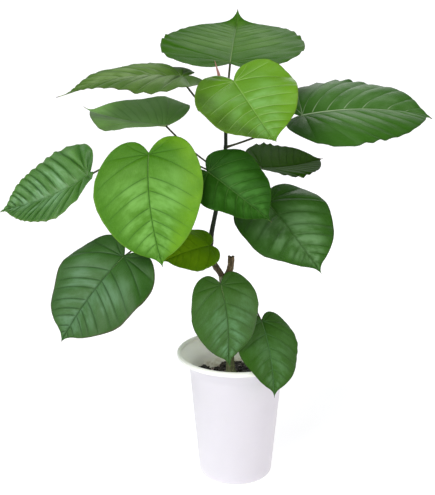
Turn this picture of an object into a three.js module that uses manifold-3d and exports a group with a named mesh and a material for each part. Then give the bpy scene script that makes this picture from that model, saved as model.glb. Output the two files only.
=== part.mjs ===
// Ficus umbellata in a white plastic pot: a young potted tree with a bare woody foot, one slender
// green stem that bends round a pruned stub, and large heart-shaped leaves on long petioles.
// Millimetres, +Z up. The origin is the centre of the pot's flat underside.
// The side that faces the viewer is -Y, and +X is to the right.

import * as THREE from 'three';
import { mergeVertices } from 'three/addons/utils/BufferGeometryUtils.js';
import Module from 'manifold-3d';

// Pot, a 185 mm nursery pot with a flared mouth and a rolled lip
const POT_HEIGHT = 205;
const POT_RIM_RADIUS = 92.5;
const POT_LIP_HEIGHT = 8;
const POT_LIP_WIDTH = 7;
const POT_NECK_RADIUS = 72.3;
const POT_NECK_HEIGHT = 172;
const POT_FLARE_POWER = 2.2;
const POT_BASE_RADIUS = 57.7;
const POT_CORNER_RADIUS = 8;
const POT_WALL = 3;
const POT_FLOOR = 5;
const POT_INNER_CORNER = 5;
const POT_RECESS = 1.5;
const POT_RECESS_INNER = 16;
const POT_RECESS_OUTER = 46;
const POT_CORNER_STEPS = 3;
const POT_FLARE_STEPS = 4;
const POT_LIP_STEPS = 6;
const POT_SIDES = 48;
const DRAIN_RADIUS = 4;
const DRAIN_CIRCLE = 32;
const DRAIN_COUNT = 4;
const DRAIN_TURN = 45;
const DRAIN_SIDES = 12;

// Soil, a firm root ball with a nearly level top
const SOIL_TOP = 161;
const SOIL_LEVEL_RADIUS = 45;
const SOIL_EDGE_DROP = 2;
const SOIL_WALL_GAP = 0.5;

// Neighbours stay this far apart, and limbs that are cut for each other a little more
const GAP = 0.3;
const CLEAR = 0.4;

// Shares closer than this count as one, and corners closer than MERGE mm are one corner
const EXACT = 1e-6;
const MERGE = 1e-4;

// Trunk from the soil to its fork, with the flare of its foot
const FORK = [-21.4, 0, 327];
const TRUNK_BURIED = 8;
const TRUNK_PATH = [[-7, 0, SOIL_TOP - TRUNK_BURIED], [-10.8, 0, 208], [-14.6, 1, 250], [-18.6, 1, 300], FORK];
const TRUNK_FOOT_RADIUS = 11;
const TRUNK_RADIUS = 6.6;
const FORK_RADIUS = 6.1;
const FLARE_SHARE = 0.24;
const TRUNK_SIDES = 12;
const TRUNK_STEPS = 20;

// Main stem, which leaves the fork to the left, bends back and rises to the top leaf
const STEM_PATH = [
  [-19.5, 0, 321], [-25.5, 0, 332], [-33.5, -1, 345], [-39.4, -2, 367], [-38, -2, 394],
  [-32, 0, 425], [-24, 1, 475], [-17.3, 0, 520], [-16.8, 0, 546], [-14.6, 0, 609],
];
const STEM_START_RADIUS = 4.8;
const STEM_MIDDLE_RADIUS = 3.1;
const STEM_END_RADIUS = 2.1;
const STEM_SLIM_SHARE = 0.4;
const STEM_TAPER_START = 0.3;
const STEM_SIDES = 10;
const STEM_STEPS = 30;

// Stub of the old leader, cut off above the fork
const STUB_PATH = [[-19.6, 0, 318], [-13.4, 0, 328.5], [-9.2, 0, 340], [-8, 0, 358]];
const STUB_START_RADIUS = 5.2;
const STUB_END_RADIUS = 5.0;
const STUB_SIDES = 10;
const STUB_STEPS = 6;

// Closed bud in its pointed sheath, beside the top petiole
const BUD_PATH = [[-15.6, 0, 582], [-19.5, -4, 598], [-25.5, -11, 624], [-33, -22, 651]];
const BUD_RADIUS = 2.1;
const BUD_TIP_RADIUS = 0.9;
const BUD_TAPER_START = 0.3;
const BUD_SIDES = 6;
const BUD_STEPS = 6;

// Petioles, round, a little swollen where they leave the stem
const PETIOLE_SHARE = 0.0115;
const PETIOLE_LEAST = 1.35;
const PETIOLE_SWELL = 0.35;
const PETIOLE_SWELL_SHARE = 0.12;
const PETIOLE_SINK = 7;
const PETIOLE_SIDES = 6;
const PETIOLE_STEP = 16;
const PETIOLE_STEPS_LEAST = 6;

// Leaf outline, in shares of the length: the widest place, the lobes behind the joint, and the drip
// tip, which begins DRIP_START degrees round the side and is narrower than the side by DRIP_NARROW
const WIDEST = 0.30;
const LOBE_BACK = 0.14;
const LOBE_TURN = 120;
const LOBE_SHARE = 0.40;
const SINUS_RISE = 0.06;
const DRIP = 0.08;
const DRIP_START = 70;
const DRIP_NARROW = 0.7;
const DRIP_POWER = 1.5;
const TIP_LIFT_START = 0.85;
const MARGIN_WAVES = 3;
const BLADE_SHARE = 0.0108;
const BLADE_LEAST = 1.6;
const BLADE_RINGS = [0, 0.36, 0.72, 1];
const BLADE_SIDES = 24;
const BLADE_SIDES_LARGE = 28;
const LARGE_LEAF = 170;

// Each leaf: the height of its seat on the stem, the joint of petiole and blade, the heading of
// the midrib (0 is +X, 90 is +Y), its pitch and roll in degrees, length and width, the power by which
// its sides narrow, the bend of the midrib, the fold at the midrib and the cup of each half in
// degrees, the height of the margin's waves and where they begin on the left and right, the lift of
// the tip, and the petiole's arch.
const LEAVES = [
  { name: 'leaf_01_top', seat: 602, joint: [-10.5, 20, 646], heading: 86, pitch: 16, roll: 1,
    length: 226, width: 220, taper: 1.2, bend: 6, fold: 7, cup: 8, wave: 1.5, start: [0.87, 0.38],
    tip: 24, arch: [0, -12, 4] },
  { name: 'leaf_02_upper_front', seat: 570, joint: [-5.5, -45, 623.5], heading: 296, pitch: -30, roll: 22,
    length: 142, width: 142, taper: 1.25, bend: 0, fold: 15, cup: 10, wave: 5, start: [0.6, 0.8],
    tip: 5, arch: [0, -10, -6] },
  { name: 'leaf_03_upper_left', seat: 561, joint: [-82, 15, 625], heading: 195, pitch: 6, roll: -7,
    length: 185, width: 184, taper: 3, bend: 29, fold: 11, cup: 26, wave: 2.5, start: [0.42, 0.15],
    tip: 2, arch: [0, 0, -18] },
  { name: 'leaf_04_left', seat: 487, joint: [-103, -25, 560], heading: 146, pitch: -2, roll: -12,
    length: 155, width: 150, taper: 2.2, bend: -15, fold: 26, cup: 30, wave: 3.5,
    start: [0.41, 0.92], tip: 4, arch: [0, 0, -10] },
  { name: 'leaf_05_far_left', seat: 478, joint: [-216, -35, 489], heading: 161, pitch: -35, roll: -39,
    length: 154, width: 146, taper: 1.45, bend: -30, fold: 26, cup: 28, wave: 1.5, start: [0.5, 0],
    tip: -1, arch: [0, 0, 62] },
  { name: 'leaf_06_front', seat: 464, joint: [-124, -90, 528], heading: 267, pitch: -52, roll: 18,
    length: 162, width: 162, taper: 1.4, bend: 54, fold: 11, cup: 16, wave: 3, start: [0.5, 0],
    tip: 3, arch: [0, 0, 18] },
  { name: 'leaf_07_lower_left', seat: 383, joint: [-164, -80, 379], heading: 220, pitch: -34, roll: -22,
    length: 150, width: 151, taper: 1.2, bend: 30, fold: 11, cup: 30, wave: 5.5, start: [0.9, 0.87],
    tip: 0, arch: [0, 16, 42] },
  { name: 'leaf_08_right', seat: 524, joint: [96, 10, 570], heading: 2, pitch: 11, roll: 22,
    length: 202, width: 198, taper: 1.35, bend: 28, fold: 20, cup: 45, wave: 2.5, start: [0.9, 0.77],
    tip: -2, arch: [0, 0, -6] },
  { name: 'leaf_09_back_right', seat: 508, joint: [40, 70, 481], heading: 36, pitch: -7, roll: 18,
    length: 124, width: 116, taper: 1.5, bend: -18, fold: 20, cup: 14, wave: 2, start: [0.05, 0.65],
    tip: 0, arch: [0, 0, 16] },
  { name: 'leaf_10_centre', seat: 493, joint: [-42, -80, 502], heading: 330, pitch: -29, roll: 33,
    length: 116, width: 110, taper: 1.5, bend: 6, fold: 22, cup: 14, wave: 5, start: [0.2, 0.5],
    tip: 0, arch: [0, 0, 14] },
  { name: 'leaf_11_lower_right', seat: 434, joint: [44, -30, 448], heading: 305, pitch: -28, roll: 17,
    length: 144, width: 142, taper: 1.45, bend: 14, fold: 14, cup: 22, wave: 5, start: [0, 0],
    tip: 0, arch: [0, 0, 16] },
  { name: 'leaf_12_small', seat: 340, joint: [-41, -40, 385], heading: 211, pitch: -2, roll: -40,
    length: 76, width: 74, taper: 1.5, bend: 30, fold: 9, cup: 22, wave: 2.5, start: [0.25, 0.75],
    tip: 0, arch: [0, -10, 0] },
  { name: 'leaf_13_low_front', seat: 317, joint: [-24, -88, 339], heading: 303, pitch: -61, roll: 4,
    length: 123, width: 111, taper: 1.6, bend: 48, fold: 6, cup: 19, wave: 3, start: [0.2, 0.3],
    tip: 13, arch: [0, 0, 14] },
  { name: 'leaf_14_low_right', seat: 303, joint: [38, -34, 265], heading: 291, pitch: -42, roll: -15,
    length: 118, width: 111, taper: 1.45, bend: 28, fold: 11, cup: 26, wave: 3, start: [0.1, 0.2],
    tip: 0, arch: [11, 0, 23] },
  { name: 'leaf_15_back_left', seat: 448, joint: [-88, 70, 440], heading: 128, pitch: -16, roll: 0,
    length: 150, width: 146, taper: 1.4, bend: 25, fold: 10, cup: 25, wave: 4, start: [0.3, 0.6],
    tip: 3, arch: [0, 0, 20] },
  { name: 'leaf_16_low_back_right', seat: 441, joint: [41, 62, 428], heading: 62, pitch: -20, roll: 0,
    length: 138, width: 134, taper: 1.4, bend: 25, fold: 10, cup: 25, wave: 4, start: [0.1, 0.8],
    tip: 3, arch: [0, 0, 18] },
  { name: 'leaf_17_upper_back', seat: 548, joint: [4, 50, 580], heading: 100, pitch: 2, roll: 0,
    length: 106, width: 102, taper: 1.45, bend: 20, fold: 10, cup: 20, wave: 3, start: [0.5, 0.2],
    tip: 2, arch: [0, 0, 10] },
  { name: 'leaf_18_low_back_left', seat: 379, joint: [-146, 62, 374], heading: 150, pitch: -20, roll: 0,
    length: 122, width: 118, taper: 1.45, bend: 25, fold: 10, cup: 25, wave: 3.5, start: [0.7, 0.4],
    tip: 2, arch: [0, 0, 16] },
];
const YOUNG_LEAVES = ['leaf_02_upper_front', 'leaf_06_front'];

const wasm = await Module();
wasm.setup();

const plastic = new THREE.MeshStandardMaterial({ color: 0xefeef1, roughness: 0.42, metalness: 0 });
const earth = new THREE.MeshStandardMaterial({ color: 0x2d221d, roughness: 0.95, metalness: 0 });
const bark = new THREE.MeshStandardMaterial({ color: 0x7a785a, roughness: 0.85, metalness: 0 });
const greenStem = new THREE.MeshStandardMaterial({ color: 0x24301f, roughness: 0.7, metalness: 0 });
const budSkin = new THREE.MeshStandardMaterial({ color: 0x9c6a62, roughness: 0.6, metalness: 0 });
const oldLeaf = new THREE.MeshStandardMaterial({ color: 0x37652f, roughness: 0.5, metalness: 0 });
const youngLeaf = new THREE.MeshStandardMaterial({ color: 0x7fa83a, roughness: 0.5, metalness: 0 });

const plant = new THREE.Group();

function radians(degrees) {
  return degrees * Math.PI / 180;
}

function smooth(value, from, to) {
  return THREE.MathUtils.smoothstep(value, from, to);
}

function curveThrough(points) {
  return new THREE.CatmullRomCurve3(points.map((point) => new THREE.Vector3(...point)));
}

// Closed geometry with shared corners, its faces turned outward
function closed(source) {
  let geometry = source;
  geometry.deleteAttribute('normal');
  geometry.deleteAttribute('uv');
  geometry = mergeVertices(geometry, MERGE);
  const corners = geometry.attributes.position;
  const faces = Array.from(geometry.index.array);
  const a = new THREE.Vector3();
  const b = new THREE.Vector3();
  const c = new THREE.Vector3();
  let volume = 0;
  const kept = [];
  for (let i = 0; i < faces.length; i += 3) {
    const [p, q, r] = faces.slice(i, i + 3);
    if (p === q || q === r || r === p) continue;
    a.fromBufferAttribute(corners, p);
    b.fromBufferAttribute(corners, q);
    c.fromBufferAttribute(corners, r);
    volume += a.dot(b.cross(c));
    kept.push([p, q, r]);
  }
  const outward = volume > 0 ? kept : kept.map(([p, q, r]) => [p, r, q]);
  geometry.setIndex(outward.flat());
  return geometry;
}

function toSolid(geometry) {
  const shape = closed(geometry);
  return new wasm.Manifold(new wasm.Mesh({
    numProp: 3,
    vertProperties: new Float32Array(shape.attributes.position.array),
    triVerts: new Uint32Array(shape.index.array),
  }));
}

function toGeometry(solid) {
  const mesh = solid.getMesh();
  const geometry = new THREE.BufferGeometry();
  geometry.setAttribute('position', new THREE.BufferAttribute(new Float32Array(mesh.vertProperties), 3));
  geometry.setIndex(new THREE.BufferAttribute(new Uint32Array(mesh.triVerts), 1));
  return geometry;
}

// The largest body of a cut solid, without the scraps that a cut leaves
function largestBody(solid) {
  return solid.decompose().reduce((best, body) => (body.volume() > best.volume() ? body : best));
}

function addPart(name, solid, material) {
  const mesh = new THREE.Mesh(toGeometry(solid), material);
  mesh.name = name;
  plant.add(mesh);
}

// A part turned about the upright axis from its profile of radius and height
function turned(profile) {
  const geometry = new THREE.LatheGeometry(profile.map(([r, z]) => new THREE.Vector2(r, z)), POT_SIDES);
  geometry.rotateX(Math.PI / 2);
  return toSolid(geometry);
}

// Points of an arc in a profile, its angles in degrees from the outward direction
function arc(centre, radii, from, to, steps) {
  const points = [];
  for (let i = 0; i <= steps; i += 1) {
    const angle = radians(from + (to - from) * i / steps);
    points.push([centre[0] + radii[0] * Math.cos(angle), centre[1] + radii[1] * Math.sin(angle)]);
  }
  return points;
}

// A tapering limb: a round section swept along a curve, each ring then let out to its own radius
function limb(curve, radiusAt, sides, steps, extra = 0) {
  const section = new THREE.Shape();
  for (let i = 0; i < sides; i += 1) {
    const angle = i / sides * 2 * Math.PI;
    if (i === 0) section.moveTo(Math.cos(angle), Math.sin(angle));
    else section.lineTo(Math.cos(angle), Math.sin(angle));
  }
  section.closePath();
  const geometry = new THREE.ExtrudeGeometry(section, { steps, extrudePath: curve });
  const stations = curve.getSpacedPoints(steps);
  const corners = geometry.attributes.position;
  const corner = new THREE.Vector3();
  for (let i = 0; i < corners.count; i += 1) {
    corner.fromBufferAttribute(corners, i);
    let nearest = 0;
    stations.forEach((station, k) => {
      if (corner.distanceTo(station) < corner.distanceTo(stations[nearest])) nearest = k;
    });
    const centre = stations[nearest];
    corner.sub(centre).setLength(radiusAt(nearest / steps) + extra).add(centre);
    if (nearest === 0) corner.addScaledVector(curve.getTangentAt(0), -extra);
    if (nearest === steps) corner.addScaledVector(curve.getTangentAt(1), extra);
    corners.setXYZ(i, corner.x, corner.y, corner.z);
  }
  return toSolid(geometry);
}

// The point of an upright curve at a given height
function pointAtHeight(curve, height) {
  let low = 0;
  let high = 1;
  while (high - low > EXACT) {
    const middle = (low + high) / 2;
    if (curve.getPointAt(middle).z < height) low = middle;
    else high = middle;
  }
  return curve.getPointAt(low);
}

// The trumpet curve of the pot's mouth, as (radius, height) points from its foot to its rim
function flare([footRadius, footHeight], [rimRadius, rimHeight]) {
  const points = [];
  for (let i = 0; i <= POT_FLARE_STEPS; i += 1) {
    const share = i / POT_FLARE_STEPS;
    const out = share ** POT_FLARE_POWER;
    points.push([footRadius + (rimRadius - footRadius) * out, footHeight + (rimHeight - footHeight) * share]);
  }
  return points;
}

// Pot: one turned wall with a flared mouth and a rolled lip, a recess under its floor, drain holes
function potSolid() {
  const lipRadii = [POT_LIP_WIDTH / 2, POT_LIP_HEIGHT / 2];
  const lipCentre = [POT_RIM_RADIUS - lipRadii[0], POT_HEIGHT - lipRadii[1]];
  const lipBottom = POT_HEIGHT - POT_LIP_HEIGHT;
  const innerNeck = POT_NECK_RADIUS - POT_WALL;
  const innerBase = POT_BASE_RADIUS - POT_WALL;
  const corner = [POT_BASE_RADIUS - POT_CORNER_RADIUS, POT_CORNER_RADIUS];
  let solid = turned([
    [0, 0],
    [POT_RECESS_INNER, 0],
    [POT_RECESS_INNER + POT_RECESS, POT_RECESS],
    [POT_RECESS_OUTER - POT_RECESS, POT_RECESS],
    [POT_RECESS_OUTER, 0],
    ...arc(corner, [POT_CORNER_RADIUS, POT_CORNER_RADIUS], -90, 0, POT_CORNER_STEPS),
    ...flare([POT_NECK_RADIUS, POT_NECK_HEIGHT], [lipCentre[0], lipBottom]),
    ...arc(lipCentre, lipRadii, -90, 180, POT_LIP_STEPS).slice(1, -1),
    ...flare([innerNeck, POT_NECK_HEIGHT], [POT_RIM_RADIUS - POT_LIP_WIDTH, lipCentre[1]]).reverse(),
    [innerBase, POT_FLOOR + POT_INNER_CORNER],
    [innerBase - POT_INNER_CORNER, POT_FLOOR],
    [0, POT_FLOOR],
  ]);
  for (let i = 0; i < DRAIN_COUNT; i += 1) {
    const drill = new THREE.CylinderGeometry(DRAIN_RADIUS, DRAIN_RADIUS, 2 * POT_HEIGHT, DRAIN_SIDES);
    drill.rotateX(Math.PI / 2);
    const angle = radians(DRAIN_TURN + i * 360 / DRAIN_COUNT);
    drill.translate(DRAIN_CIRCLE * Math.cos(angle), DRAIN_CIRCLE * Math.sin(angle), 0);
    solid = solid.subtract(toSolid(drill));
  }
  return solid;
}

// Soil: it fills the pot from the floor, follows the wall and settles a little at its edge
function soilSolid() {
  const innerBase = POT_BASE_RADIUS - POT_WALL - SOIL_WALL_GAP;
  const innerNeck = POT_NECK_RADIUS - POT_WALL - SOIL_WALL_GAP;
  const cornerTop = POT_FLOOR + POT_INNER_CORNER;
  const wallSlope = (innerNeck - innerBase) / (POT_NECK_HEIGHT - cornerTop);
  const edgeHeight = SOIL_TOP - SOIL_EDGE_DROP;
  return turned([
    [0, POT_FLOOR + GAP],
    [innerBase - POT_INNER_CORNER, POT_FLOOR + GAP],
    [innerBase, cornerTop],
    [innerBase + wallSlope * (edgeHeight - cornerTop), edgeHeight],
    [SOIL_LEVEL_RADIUS, SOIL_TOP],
    [0, SOIL_TOP],
  ]);
}

function trunkRadius(share) {
  const foot = (TRUNK_FOOT_RADIUS - TRUNK_RADIUS) * (1 - smooth(share, 0, FLARE_SHARE)) ** 2;
  return foot + TRUNK_RADIUS + (FORK_RADIUS - TRUNK_RADIUS) * share;
}

function stemRadius(share) {
  const slimmed = (STEM_MIDDLE_RADIUS - STEM_START_RADIUS) * smooth(share, 0, STEM_SLIM_SHARE);
  const tapered = (STEM_END_RADIUS - STEM_MIDDLE_RADIUS) * smooth(share, STEM_TAPER_START, 1);
  return STEM_START_RADIUS + slimmed + tapered;
}

function stubRadius(share) {
  return STUB_START_RADIUS + (STUB_END_RADIUS - STUB_START_RADIUS) * share;
}

function budRadius(share) {
  return BUD_RADIUS + (BUD_TIP_RADIUS - BUD_RADIUS) * smooth(share, BUD_TAPER_START, 1);
}

// Flat leaf outline. Around runs from 0 in the notch, over the lobe and the side, to 1 at the tip.
// It gives the share of the half width and the share of the length.
function margin(around, taper) {
  if (around < LOBE_SHARE) {
    const angle = LOBE_TURN * (around / LOBE_SHARE - 1);
    const notch = Math.cos(radians(LOBE_TURN));
    const past = Math.max(0, (-90 - angle) / (LOBE_TURN - 90));
    return [
      (Math.cos(radians(angle)) - notch) / (1 - notch),
      WIDEST + (WIDEST + LOBE_BACK) * Math.sin(radians(angle)) + SINUS_RISE * past ** 2,
    ];
  }
  const angle = (around - LOBE_SHARE) / (1 - LOBE_SHARE) * 90;
  const drawn = Math.max(0, (angle - DRIP_START) / (90 - DRIP_START));
  return [
    Math.max(0, Math.cos(radians(angle))) ** taper * (1 - DRIP_NARROW * drawn),
    WIDEST + (1 - DRIP - WIDEST) * Math.sin(radians(angle)) + DRIP * drawn ** DRIP_POWER,
  ];
}

// A flat point of the blade, x across and y along the midrib, folded, cupped, waved and bent
function formed(leaf, x, y, around, lift) {
  const side = Math.sign(x);
  const across = Math.abs(x);
  const perLength = (radians(leaf.bend) + EXACT) / leaf.length;
  const turn = perLength * y;
  const fold = radians(leaf.fold);
  const curl = radians(leaf.cup) / (leaf.width / 2);
  const start = side < 0 ? leaf.start[0] : leaf.start[1];
  const reach = Math.max(0, (y / leaf.length - TIP_LIFT_START) / (1 - TIP_LIFT_START));
  let height = (Math.cos(fold - curl * across) - Math.cos(fold)) / curl;
  height += leaf.wave * (2 * across / leaf.width) ** 2
    * Math.sin(2 * Math.PI * (MARGIN_WAVES * around + start));
  height += leaf.tip * reach ** 2 + lift;
  return new THREE.Vector3(
    side * (Math.sin(fold) - Math.sin(fold - curl * across)) / curl,
    Math.sin(turn) / perLength + height * Math.sin(turn),
    -(1 - Math.cos(turn)) / perLength + height * Math.cos(turn),
  );
}

// The leaf's place: rolled about its midrib, pitched, turned to its heading, set on its joint
function leafPlace(leaf) {
  const place = new THREE.Matrix4().makeTranslation(...leaf.joint);
  place.multiply(new THREE.Matrix4().makeRotationZ(radians(leaf.heading - 90)));
  place.multiply(new THREE.Matrix4().makeRotationX(radians(leaf.pitch)));
  place.multiply(new THREE.Matrix4().makeRotationY(radians(leaf.roll)));
  return place;
}

function halfThickness(leaf) {
  return Math.max(BLADE_LEAST, BLADE_SHARE * leaf.length) / 2;
}

// Blade: a flattened ball whose poles are the joint, above and below, with a wall at the margin
function bladeSolid(leaf) {
  const sides = leaf.length > LARGE_LEAF ? BLADE_SIDES_LARGE : BLADE_SIDES;
  const rows = 2 * BLADE_RINGS.length - 1;
  const half = halfThickness(leaf);
  const geometry = new THREE.SphereGeometry(1, sides, rows);
  const corners = geometry.attributes.position;
  const place = leafPlace(leaf);
  for (let row = 0; row <= rows; row += 1) {
    const above = row < BLADE_RINGS.length;
    const ring = BLADE_RINGS[above ? row : rows - row];
    for (let i = 0; i <= sides; i += 1) {
      const turn = 2 * i / sides - 1;
      const around = Math.abs(turn);
      const [share, along] = margin(around, leaf.taper);
      const x = Math.sign(turn) * share * ring * leaf.width / 2;
      const point = formed(leaf, x, along * ring * leaf.length, around, above ? half : -half);
      point.applyMatrix4(place);
      corners.setXYZ(row * (sides + 1) + i, point.x, point.y, point.z);
    }
  }
  return toSolid(geometry);
}

function petioleRadius(leaf) {
  const radius = Math.max(PETIOLE_LEAST, PETIOLE_SHARE * leaf.length);
  return (share) => radius * (1 + PETIOLE_SWELL * (1 - smooth(share, 0, PETIOLE_SWELL_SHARE)));
}

// Petiole: from its seat inside the stem, over its arch, to the joint and on under the midrib
function petioleSolid(leaf, seat) {
  const place = leafPlace(leaf);
  const under = -halfThickness(leaf);
  const joint = formed(leaf, 0, 0, 0, under).applyMatrix4(place);
  const sunk = formed(leaf, 0, PETIOLE_SINK, 0, under).applyMatrix4(place);
  const middle = seat.clone().add(joint).multiplyScalar(0.5).add(new THREE.Vector3(...leaf.arch));
  const reach = new THREE.QuadraticBezierCurve3(seat, middle, joint);
  const points = [0, 0.2, 0.4, 0.6, 0.8, 1].map((share) => reach.getPoint(share));
  points.push(sunk);
  const steps = Math.max(PETIOLE_STEPS_LEAST, Math.round(reach.getLength() / PETIOLE_STEP));
  return limb(new THREE.CatmullRomCurve3(points), petioleRadius(leaf), PETIOLE_SIDES, steps);
}

const trunkCurve = curveThrough(TRUNK_PATH);
const stemCurve = curveThrough(STEM_PATH);
const stubCurve = curveThrough(STUB_PATH);
const budCurve = curveThrough(BUD_PATH);

// The trunk ends in a flat cut where it leaves the soil
const ground = new THREE.BoxGeometry(2 * POT_HEIGHT, 2 * POT_HEIGHT, SOIL_TOP);
ground.translate(0, 0, SOIL_TOP / 2 + GAP);
const trunk = limb(trunkCurve, trunkRadius, TRUNK_SIDES, TRUNK_STEPS).subtract(toSolid(ground));
const trunkRoom = limb(trunkCurve, trunkRadius, TRUNK_SIDES, TRUNK_STEPS, CLEAR);
const stem = largestBody(limb(stemCurve, stemRadius, STEM_SIDES, STEM_STEPS).subtract(trunkRoom));
const stemRoom = limb(stemCurve, stemRadius, STEM_SIDES, STEM_STEPS, CLEAR);
const wood = trunkRoom.add(stemRoom);
const stub = largestBody(limb(stubCurve, stubRadius, STUB_SIDES, STUB_STEPS).subtract(wood));
const stubRoom = limb(stubCurve, stubRadius, STUB_SIDES, STUB_STEPS, CLEAR);
const bud = largestBody(limb(budCurve, budRadius, BUD_SIDES, BUD_STEPS).subtract(stemRoom));

addPart('pot', potSolid(), plastic);
addPart('soil', soilSolid(), earth);
addPart('trunk', trunk, bark);
addPart('main_stem', stem, greenStem);
addPart('cut_stub', stub, bark);
addPart('tip_bud', bud, budSkin);

for (const leaf of LEAVES) {
  const carrier = leaf.seat < FORK[2] ? trunkCurve : stemCurve;
  const seat = pointAtHeight(carrier, leaf.seat);
  const whole = bladeSolid(leaf).add(petioleSolid(leaf, seat));
  const clear = largestBody(whole.subtract(wood).subtract(stubRoom));
  addPart(leaf.name, clear, YOUNG_LEAVES.includes(leaf.name) ? youngLeaf : oldLeaf);
}

export default plant;
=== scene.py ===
import math
import random

import bpy
import numpy as np
from mathutils import Matrix, Vector, noise


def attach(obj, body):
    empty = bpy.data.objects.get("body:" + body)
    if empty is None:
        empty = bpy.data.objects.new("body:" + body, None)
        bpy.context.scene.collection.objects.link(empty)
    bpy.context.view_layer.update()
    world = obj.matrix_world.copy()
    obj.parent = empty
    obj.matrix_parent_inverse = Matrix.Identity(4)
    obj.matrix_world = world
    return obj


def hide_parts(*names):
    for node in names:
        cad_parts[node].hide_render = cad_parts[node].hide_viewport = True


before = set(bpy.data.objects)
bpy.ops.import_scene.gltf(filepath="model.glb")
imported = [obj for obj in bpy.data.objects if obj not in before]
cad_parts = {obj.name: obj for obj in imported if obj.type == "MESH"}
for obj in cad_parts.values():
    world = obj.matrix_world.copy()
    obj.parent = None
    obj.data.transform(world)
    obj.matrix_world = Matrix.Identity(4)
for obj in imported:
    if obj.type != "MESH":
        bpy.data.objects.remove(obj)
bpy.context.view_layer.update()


# View, room and floor. The eye is a little over the crown, 1.35 m in front, and looks down a
# little. The plant stands on a wide pale matt floor in a pale room, under one big soft lamp from
# the upper left, a weaker one from the right and one behind that lights the edges of the leaves.
LOOKS_DOWN = 15.2
SENSOR_WIDTH = 36
LENS_SHARE = 923 / 495
camera = bpy.data.objects.new("camera", bpy.data.cameras.new("camera"))
camera.location = (-0.029, -1.350, 0.738)
camera.rotation_euler = (math.radians(90 - LOOKS_DOWN), 0, 0)
camera.data.sensor_width = SENSOR_WIDTH
camera.data.lens = LENS_SHARE * SENSOR_WIDTH
bpy.context.collection.objects.link(camera)
bpy.context.scene.camera = camera
bpy.context.scene.view_settings.view_transform = "Standard"


def soft_lamp(name, kind, place, aim, strength, colour, size):
    """A lamp that shines from its place towards its aim. Size is metres, or degrees for a sun."""
    lamp = bpy.data.objects.new(name, bpy.data.lights.new(name, kind))
    lamp.data.energy = strength
    lamp.data.color = colour
    if kind == "SUN":
        lamp.data.angle = math.radians(size)
    else:
        lamp.data.shape = "DISK"
        lamp.data.size = size
    lamp.location = place
    lamp.rotation_euler = (Vector(aim) - Vector(place)).to_track_quat("-Z", "Y").to_euler()
    bpy.context.collection.objects.link(lamp)


soft_lamp("window light", "SUN", (-1.2, -1.5, 2.1), (0, 0, 0.3), 1.9, (1.0, 0.99, 0.97), 38)
soft_lamp("right lamp", "AREA", (1.9, -1.0, 0.9), (0, 0, 0.4), 5, (1.0, 0.80, 0.78), 1.2)
soft_lamp("back lamp", "AREA", (0.4, 1.7, 1.7), (0, 0, 0.5), 9, (1.0, 1.0, 1.0), 1.0)


def srgb(red, green, blue):
    """A colour as a paint card gives it, 0 to 255, turned into the renderer's linear values."""
    shares = [value / 255 for value in (red, green, blue)]
    return (*[v / 12.92 if v < 0.04 else ((v + 0.055) / 1.055) ** 2.4 for v in shares], 1)


def join(tree, value, socket):
    """Links a flow, a socket or a node's first output to the socket, or sets a plain value there."""
    if isinstance(value, Flow):
        value = value.socket
    if isinstance(value, bpy.types.Node):
        value = value.outputs[0]
    if isinstance(value, bpy.types.NodeSocket):
        tree.links.new(value, socket)
    else:
        socket.default_value = value


def node(tree, kind, fed=None, **settings):
    """A new node with its settings, and its inputs, by name or number, joined or set."""
    made = tree.nodes.new(kind)
    for setting, value in settings.items():
        setattr(made, setting, value)
    for socket, value in (fed or {}).items():
        join(tree, value, made.inputs[socket])
    return made


def flow(tree, kind, fed=None, output=0, **settings):
    """What comes out of a new node, by the output's name or number."""
    return Flow(tree, node(tree, kind, fed, **settings).outputs[output])


def step_of(operation, swapped=False):
    """A method of Flow for one step of arithmetic, with the flow last where it is swapped."""
    def method(first, *others):
        values = (*others, first) if swapped else (first, *others)
        return flow(first.tree, "ShaderNodeMath", dict(enumerate(values)), operation=operation)
    return method


class Flow:
    """A value in a node tree, so that a rule in nodes reads as plain arithmetic."""

    __add__ = step_of("ADD")
    __radd__ = step_of("ADD", True)
    __sub__ = step_of("SUBTRACT")
    __rsub__ = step_of("SUBTRACT", True)
    __mul__ = step_of("MULTIPLY")
    __truediv__ = step_of("DIVIDE")
    __rtruediv__ = step_of("DIVIDE", True)
    __pow__ = step_of("POWER")
    sin = step_of("SINE")
    cos = step_of("COSINE")
    sign = step_of("SIGN")
    size = step_of("ABSOLUTE")
    part = step_of("FRACT")
    least = step_of("MINIMUM")
    most = step_of("MAXIMUM")
    over = step_of("GREATER_THAN")
    under = step_of("LESS_THAN")

    def __init__(self, tree, socket):
        self.tree = tree
        self.socket = socket

    def ramp(self, start, end):
        """0 up to start, 1 from end, smooth between."""
        return flow(self.tree, "ShaderNodeMapRange", {0: self, 1: start, 2: end}, "Result",
                    interpolation_type="SMOOTHSTEP")


def parts(vector):
    """The x, y and z of a place or a direction."""
    apart = node(vector.tree, "ShaderNodeSeparateXYZ", {0: vector})
    return [Flow(vector.tree, socket) for socket in apart.outputs]


def clouds(place, scale, detail=3.0, roughness=0.55):
    """Noise from 0 to 1, scale in patches for each metre."""
    return flow(place.tree, "ShaderNodeTexNoise", {
        "Vector": place, "Scale": scale, "Detail": detail, "Roughness": roughness}, "Fac")


def tinted(share, first, second):
    """First colour where share is 0, second where it is 1."""
    return flow(share.tree, "ShaderNodeMix", {0: share, 6: first, 7: second}, 2, data_type="RGBA")


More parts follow.
